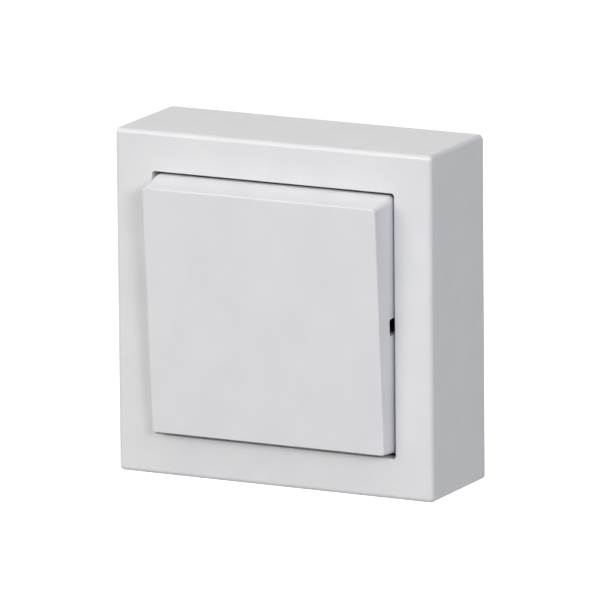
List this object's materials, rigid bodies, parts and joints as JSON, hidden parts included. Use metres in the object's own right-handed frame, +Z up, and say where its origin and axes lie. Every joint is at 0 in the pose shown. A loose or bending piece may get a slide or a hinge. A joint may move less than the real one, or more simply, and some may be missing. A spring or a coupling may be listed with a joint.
{
  "type": "surface-mounted pushbutton light switch",
  "caption": "Deep square surface-mounted light switch with one large tilting pushbutton, a spring-return plunger and a contact bridge inside.",
  "frame": {"origin": "centre of the back, on the wall plane", "axes": "+Y points into the wall, -Y is the front that is pressed, +Z is up and +X is to the right for someone facing the switch"},
  "size_m": [0.085, 0.0364, 0.085],
  "materials": {
    "white_cover": "satin",
    "white_button": "gloss",
    "white_base": "matt",
    "grey_insert": "matt",
    "dark_carrier": "matt",
    "ivory_plunger": "satin",
    "zinc_steel": "zinc plated",
    "bright_steel": "polished",
    "spring_steel": "drawn wire",
    "brass": "satin",
    "silver": "satin",
    "soft_seal": "matt"
  },
  "bodies": {
    "housing": {"cover_frame": "white_cover", "wall_base": "white_base", "cable_seal": "soft_seal", "support_ring": "zinc_steel", "ring_screws": "zinc_steel", "insert_base": "grey_insert", "insert_cover": "grey_insert", "insert_rivets": "zinc_steel", "left_contact": "brass", "right_contact": "brass", "fixed_tips": "silver", "clamp_cages": "zinc_steel", "terminal_screws": "zinc_steel", "earth_terminal": "brass", "earth_screws": "zinc_steel", "pivot_pin": "bright_steel"},
    "button": {"button": "white_button", "carrier": "dark_carrier"},
    "plunger": {"plunger": "ivory_plunger", "contact_bridge": "brass", "moving_tips": "silver", "bridge_spring": "spring_steel", "return_spring": "spring_steel"}
  },
  "joints": [
    {"name": "button_tilt", "type": "hinge", "parent": "housing", "child": "button", "pos_m": [0, -0.0258, 0], "axis": [-1, 0, 0], "range_deg": [0, 7.6], "stiffness_Nm_per_rad": 0.3, "springref_deg": -11.46},
    {"name": "plunger_slide", "type": "slide", "parent": "housing", "child": "plunger", "axis": [0, 1, 0], "range_m": [0, 0.00159], "deforming": ["return_spring"]}
  ],
  "couplings": [
    {"joint": "plunger_slide", "follows": "button_tilt", "m_per_rad": 0.01199}
  ]
}
